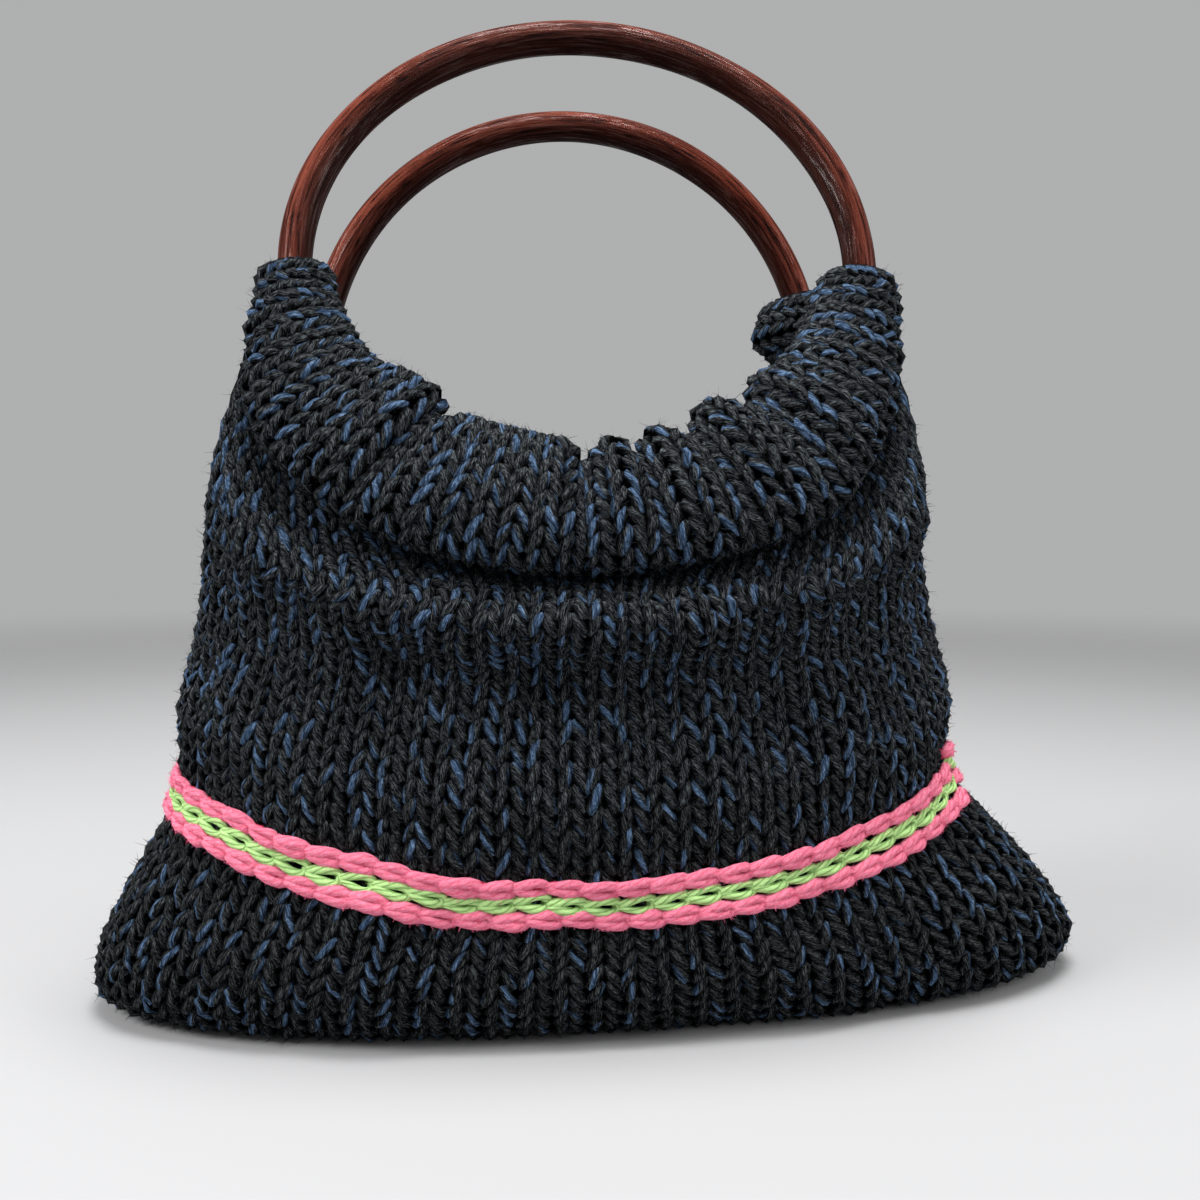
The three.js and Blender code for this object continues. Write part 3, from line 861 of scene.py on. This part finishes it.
yarns = {"front": [], "back": []}
for side_name, surface, seed, samples in (("front", front, 11, 12), ("back", back, 23, 10)):
    courses = round(surface.height / COURSE_HEIGHT)
    half = courses // 2
    lower = stitches(surface, 0, half, courses, seed, samples)
    upper = stitches(surface, half, courses, courses, seed + 1, samples)
    edges = [edge_yarn(surface, share, courses, seed + 2) for share in (0.0, 1.0)]
    # The lower half takes the copy of the yarn darkened with painted shade.
    pieces = [
        yarn_object(side_name + "_knit_lower", [lower, *edges], lower_knit_painted_shade),
        yarn_object(side_name + "_knit_upper", [upper, hem_yarn(surface, seed + 3)], knit),
    ]
    wall = wall_object(side_name + "_wall", surface, painted_shade_backing, 72, 60, WALL_INSET)
    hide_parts(side_name + "_panel")
    yarns[side_name] += [lower, upper]

for side_name, surface, seed, samples in (("front", front_roll, 37, 12), ("back", back_roll, 53, 10)):
    courses = round(surface.outside / COURSE_HEIGHT)
    roll = stitches(surface, 0, courses, courses, seed, samples)
    tips = [edge_yarn(surface, share, courses, seed + 2, closed=True) for share in (0.0, 1.0)]
    pieces = [yarn_object(side_name + "_casing_knit", [roll, *tips], knit)]
    wall = wall_object(side_name + "_casing_wall", surface, painted_shade_backing, 32, 80, CASING_WALL_INSET)
    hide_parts(side_name + "_casing")
    yarns[side_name] += [roll]

# The handles
cane = cane_material("lacquered_cane")
for side_name, ring, seed in (("front", FRONT_RING, 71), ("back", BACK_RING, 83)):
    piece = yarn_object(side_name + "_cane", [cane_ring(ring, seed)], cane)
    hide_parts(side_name + "_ring")

# The chains
chain_colours = {
    "pink_yarn": chain_material("pink_yarn", (0.7, 0.025, 0.08), (1.0, 0.35, 0.5), 0.25),
    "green_yarn": chain_material("green_yarn", (0.14, 0.3, 0.06), (0.64, 0.97, 0.39), 0.55),
}
chain_yarns = {"pink_yarn": [], "green_yarn": []}
for number, values in enumerate(CHAINS):
    chain = dict(zip(CHAIN_COLUMNS, values))
    made = chain_yarn(front, back, chain, 100 + number)
    chain_yarns[chain["slot"]].append(made[0])
    piece = yarn_object(chain["name"] + "_links", made, chain_colours[chain["slot"]])
    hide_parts(chain["name"])

# Loose fibres
fuzz = fuzz_material("knit_fuzz", (0.002, 0.0022, 0.003), (0.026, 0.034, 0.046))
fuzz_object("front_fuzz", yarns["front"], 92000, 200, fuzz, 3.4)
fuzz_object("back_fuzz", yarns["back"], 36000, 203, fuzz, 3.4)
pink_fuzz = fuzz_material("pink_fuzz", (0.6, 0.08, 0.18), (0.95, 0.25, 0.4))
fuzz_object("pink_fuzz", chain_yarns["pink_yarn"], 24000, 201, pink_fuzz, 1.5)
green_fuzz = fuzz_material("green_fuzz", (0.2, 0.4, 0.08), (0.5, 0.8, 0.25))
fuzz_object("green_fuzz", chain_yarns["green_yarn"], 2500, 202, green_fuzz, 0.8)


# Lights: name, place in metres, size in metres, power in watts.
LIGHTS = [
    ("key", (-1.05, -0.45, 0.95), 0.6, 19),
    ("fill", (1.0, -0.4, 0.7), 0.9, 7),
    ("top", (0.05, -0.12, 1.3), 0.6, 22),
]
LIGHTS_AIM = (0.0, 0.0, 0.13)

# The camera, judged from the photograph, and its field of view in pixels of the square image.
CAMERA_AWAY = 397.0
CAMERA_ASIDE = 7.3
CAMERA_HEIGHT = 152.0
CAMERA_TURN = math.radians(3)
CAMERA_TIP = math.radians(3)
FOCAL_PIXELS = 1150
IMAGE_PIXELS = 1200
SENSOR_WIDTH = 36


def stage_floor():
    """Plain pale floor that fades into the background far from the bag."""
    nodes = Nodes("pale_floor")
    place = nodes.add("ShaderNodeTexCoord").outputs["Object"]
    tone = nodes.noise(place, 3.0, 2.0)
    colour = nodes.mix(tone, (0.335, 0.335, 0.34), (0.36, 0.36, 0.365))
    nodes.link(colour, nodes.shader.inputs["Base Color"])
    nodes.shader.inputs["Roughness"].default_value = 0.9
    length = nodes.add("ShaderNodeVectorMath", operation="LENGTH")
    nodes.link(place, length.inputs[0])
    nodes.link(nodes.ease(length.outputs["Value"], 0.5, 2.4, 1.0, 0.0), nodes.shader.inputs["Alpha"])
    bpy.ops.mesh.primitive_circle_add(vertices=96, radius=2.5, fill_type="NGON")
    floor = bpy.context.object
    floor.name = "floor"
    floor.data.materials.append(nodes.material)


def soft_light(name, place, size, power):
    light = bpy.data.lights.new(name, "AREA")
    light.shape = "DISK"
    light.size = size
    light.energy = power
    lamp = bpy.data.objects.new(name, light)
    lamp.location = place
    aim = np.array(LIGHTS_AIM) - np.array(place)
    yaw = math.atan2(aim[1], aim[0])
    lamp.rotation_euler = (math.acos(-aim[2] / np.linalg.norm(aim)), 0, yaw - math.pi / 2)
    bpy.context.scene.collection.objects.link(lamp)


def studio():
    stage_floor()
    for light in LIGHTS:
        soft_light(*light)
    world = bpy.data.worlds.new("studio")
    world.use_nodes = True
    background = world.node_tree.nodes["Background"]
    background.inputs["Color"].default_value = (0.86, 0.865, 0.87, 1)
    background.inputs["Strength"].default_value = 0.5
    bpy.context.scene.world = world
    bpy.context.scene.view_settings.view_transform = "Standard"


def photo_camera():
    """Camera as in the photograph: close, at about half the bag's height and tipped a little down."""
    ahead = np.array([math.sin(CAMERA_TURN), math.cos(CAMERA_TURN), 0])
    right = np.array([math.cos(CAMERA_TURN), -math.sin(CAMERA_TURN), 0])
    raised = np.array([0, 0, CAMERA_HEIGHT])
    place = -CAMERA_AWAY * ahead + CAMERA_ASIDE * right + raised + SHIFT
    data = bpy.data.cameras.new("photo_camera")
    data.sensor_width = SENSOR_WIDTH
    data.lens = SENSOR_WIDTH * FOCAL_PIXELS / IMAGE_PIXELS
    camera = bpy.data.objects.new("photo_camera", data)
    camera.location = place * MM
    camera.rotation_euler = (math.pi / 2 - CAMERA_TIP, 0, -CAMERA_TURN)
    bpy.context.scene.collection.objects.link(camera)
    bpy.context.scene.camera = camera


studio()
photo_camera()
